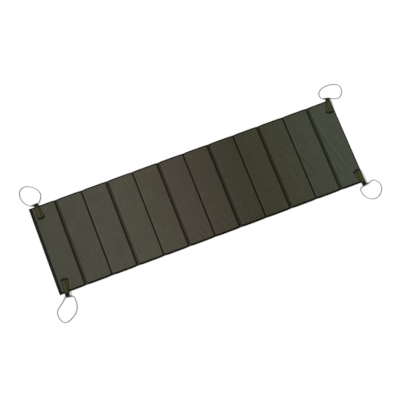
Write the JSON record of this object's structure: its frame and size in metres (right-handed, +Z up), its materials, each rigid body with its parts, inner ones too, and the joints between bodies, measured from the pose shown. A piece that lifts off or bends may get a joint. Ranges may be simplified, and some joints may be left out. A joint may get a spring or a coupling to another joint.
{
  "type": "folding stretcher mat",
  "caption": "Padded litter mat in sewn panels that folds up like a concertina, with a webbing tab and cord loop at each corner.",
  "frame": {"origin": "middle of the underside, on the surface that the mat lies on", "axes": "+X along the mat from the end with the wide binding to the other end, +Y across the mat, +Z up out of the padded side"},
  "size_m": [2.0419, 0.8386, 0.0104],
  "materials": {
    "cover_fabric": "coated woven nylon, satin",
    "web_fabric": "coated woven nylon, stitched flat",
    "foam": "closed-cell foam, matt",
    "binding": "woven tape, matt",
    "webbing": "woven webbing, matt",
    "patch": "rubberised patch, satin",
    "cord": "braided cord, matt",
    "sleeve": "moulded, matt"
  },
  "bodies": {
    "panel_01": {"top_cover_01": "cover_fabric", "foam_core_01": "foam", "bottom_cover_01": "cover_fabric", "end_binding_left": "binding", "webbing_tab_left_far": "webbing", "webbing_tab_left_near": "webbing", "tab_patch_left_far": "patch", "tab_patch_left_near": "patch"},
    "panel_02": {"top_cover_02": "cover_fabric", "foam_core_02": "foam", "bottom_cover_02": "cover_fabric"},
    "panel_03": {"top_cover_03": "cover_fabric", "foam_core_03": "foam", "bottom_cover_03": "cover_fabric"},
    "panel_04": {"top_cover_04": "cover_fabric", "foam_core_04": "foam", "bottom_cover_04": "cover_fabric"},
    "panel_05": {"top_cover_05": "cover_fabric", "foam_core_05": "foam", "bottom_cover_05": "cover_fabric"},
    "panel_06": {"top_cover_06": "cover_fabric", "foam_core_06": "foam", "bottom_cover_06": "cover_fabric"},
    "panel_07": {"top_cover_07": "cover_fabric", "foam_core_07": "foam", "bottom_cover_07": "cover_fabric"},
    "panel_08": {"top_cover_08": "cover_fabric", "foam_core_08": "foam", "bottom_cover_08": "cover_fabric"},
    "panel_09": {"top_cover_09": "cover_fabric", "foam_core_09": "foam", "bottom_cover_09": "cover_fabric"},
    "panel_10": {"top_cover_10": "cover_fabric", "foam_core_10": "foam", "bottom_cover_10": "cover_fabric"},
    "panel_11": {"top_cover_11": "cover_fabric", "foam_core_11": "foam", "bottom_cover_11": "cover_fabric"},
    "panel_12": {"top_cover_12": "cover_fabric", "foam_core_12": "foam", "bottom_cover_12": "cover_fabric", "end_binding_right": "binding", "webbing_tab_right_far": "webbing", "webbing_tab_right_near": "webbing", "tab_patch_right_far": "patch", "tab_patch_right_near": "patch"},
    "web_01": {"fold_web_01": "web_fabric"},
    "web_02": {"fold_web_02": "web_fabric"},
    "web_03": {"fold_web_03": "web_fabric"},
    "web_04": {"fold_web_04": "web_fabric"},
    "web_05": {"fold_web_05": "web_fabric"},
    "web_06": {"fold_web_06": "web_fabric"},
    "loop_left_far": {"cord_loop_left_far": "cord", "cord_sleeve_left_far": "sleeve"},
    "loop_left_near": {"cord_loop_left_near": "cord", "cord_sleeve_left_near": "sleeve"},
    "loop_right_far": {"cord_loop_right_far": "cord", "cord_sleeve_right_far": "sleeve"},
    "loop_right_near": {"cord_loop_right_near": "cord", "cord_sleeve_right_near": "sleeve"}
  },
  "joints": [
    {"name": "fold_wide_01", "type": "hinge", "parent": "panel_01", "child": "panel_02", "pos_m": [-0.7865, 0, 0.0095], "axis": [0, -1, 0], "range_deg": [0, 179]},
    {"name": "lift_web_01", "type": "hinge", "parent": "panel_01", "child": "web_01", "pos_m": [-0.795, 0, 0.001], "axis": [0, -1, 0], "range_deg": [0, 89.5]},
    {"name": "fold_seam_02", "type": "hinge", "parent": "panel_02", "child": "panel_03", "pos_m": [-0.628, 0, -0.0003], "axis": [0, -1, 0], "range_deg": [-179, 0]},
    {"name": "fold_wide_02", "type": "hinge", "parent": "panel_03", "child": "panel_04", "pos_m": [-0.4695, 0, 0.0095], "axis": [0, -1, 0], "range_deg": [0, 179]},
    {"name": "lift_web_02", "type": "hinge", "parent": "panel_03", "child": "web_02", "pos_m": [-0.478, 0, 0.001], "axis": [0, -1, 0], "range_deg": [0, 89.5]},
    {"name": "fold_seam_04", "type": "hinge", "parent": "panel_04", "child": "panel_05", "pos_m": [-0.311, 0, -0.0003], "axis": [0, -1, 0], "range_deg": [-179, 0]},
    {"name": "fold_wide_03", "type": "hinge", "parent": "panel_05", "child": "panel_06", "pos_m": [-0.1525, 0, 0.0095], "axis": [0, -1, 0], "range_deg": [0, 179]},
    {"name": "lift_web_03", "type": "hinge", "parent": "panel_05", "child": "web_03", "pos_m": [-0.161, 0, 0.001], "axis": [0, -1, 0], "range_deg": [0, 89.5]},
    {"name": "fold_seam_06", "type": "hinge", "parent": "panel_06", "child": "panel_07", "pos_m": [0.006, 0, -0.0003], "axis": [0, -1, 0], "range_deg": [-179, 0]},
    {"name": "fold_wide_04", "type": "hinge", "parent": "panel_07", "child": "panel_08", "pos_m": [0.1645, 0, 0.0095], "axis": [0, -1, 0], "range_deg": [0, 179]},
    {"name": "lift_web_04", "type": "hinge", "parent": "panel_07", "child": "web_04", "pos_m": [0.156, 0, 0.001], "axis": [0, -1, 0], "range_deg": [0, 89.5]},
    {"name": "fold_seam_08", "type": "hinge", "parent": "panel_08", "child": "panel_09", "pos_m": [0.323, 0, -0.0003], "axis": [0, -1, 0], "range_deg": [-179, 0]},
    {"name": "fold_wide_05", "type": "hinge", "parent": "panel_09", "child": "panel_10", "pos_m": [0.4815, 0, 0.0095], "axis": [0, -1, 0], "range_deg": [0, 179]},
    {"name": "lift_web_05", "type": "hinge", "parent": "panel_09", "child": "web_05", "pos_m": [0.473, 0, 0.001], "axis": [0, -1, 0], "range_deg": [0, 89.5]},
    {"name": "fold_seam_10", "type": "hinge", "parent": "panel_10", "child": "panel_11", "pos_m": [0.64, 0, -0.0003], "axis": [0, -1, 0], "range_deg": [-179, 0]},
    {"name": "fold_wide_06", "type": "hinge", "parent": "panel_11", "child": "panel_12", "pos_m": [0.7985, 0, 0.0095], "axis": [0, -1, 0], "range_deg": [0, 179]},
    {"name": "lift_web_06", "type": "hinge", "parent": "panel_11", "child": "web_06", "pos_m": [0.79, 0, 0.001], "axis": [0, -1, 0], "range_deg": [0, 89.5]},
    {"name": "swing_left_far", "type": "hinge", "parent": "panel_01", "child": "loop_left_far", "pos_m": [-0.90278, 0.28498, 0.0031], "axis": [0.9986, 0.0523, 0], "range_deg": [0, 65]},
    {"name": "swing_left_near", "type": "hinge", "parent": "panel_01", "child": "loop_left_near", "pos_m": [-0.91091, -0.29469, 0.0031], "axis": [-0.9877, 0.1564, 0], "range_deg": [0, 65]},
    {"name": "swing_right_far", "type": "hinge", "parent": "panel_12", "child": "loop_right_far", "pos_m": [0.93839, 0.28358, 0.0031], "axis": [0.9703, -0.2419, 0], "range_deg": [0, 55]},
    {"name": "swing_right_near", "type": "hinge", "parent": "panel_12", "child": "loop_right_near", "pos_m": [0.93829, -0.29074, 0.0031], "axis": [-0.9877, -0.1564, 0], "range_deg": [0, 55]}
  ],
  "couplings": [
    {"joint": "lift_web_01", "follows": "fold_wide_01", "ratio": 0.5},
    {"joint": "fold_seam_02", "follows": "fold_wide_01", "ratio": -1},
    {"joint": "fold_wide_02", "follows": "fold_wide_01", "ratio": 1},
    {"joint": "lift_web_02", "follows": "fold_wide_01", "ratio": 0.5},
    {"joint": "fold_seam_04", "follows": "fold_wide_01", "ratio": -1},
    {"joint": "fold_wide_03", "follows": "fold_wide_01", "ratio": 1},
    {"joint": "lift_web_03", "follows": "fold_wide_01", "ratio": 0.5},
    {"joint": "fold_seam_06", "follows": "fold_wide_01", "ratio": -1},
    {"joint": "fold_wide_04", "follows": "fold_wide_01", "ratio": 1},
    {"joint": "lift_web_04", "follows": "fold_wide_01", "ratio": 0.5},
    {"joint": "fold_seam_08", "follows": "fold_wide_01", "ratio": -1},
    {"joint": "fold_wide_05", "follows": "fold_wide_01", "ratio": 1},
    {"joint": "lift_web_05", "follows": "fold_wide_01", "ratio": 0.5},
    {"joint": "fold_seam_10", "follows": "fold_wide_01", "ratio": -1},
    {"joint": "fold_wide_06", "follows": "fold_wide_01", "ratio": 1},
    {"joint": "lift_web_06", "follows": "fold_wide_01", "ratio": 0.5}
  ]
}
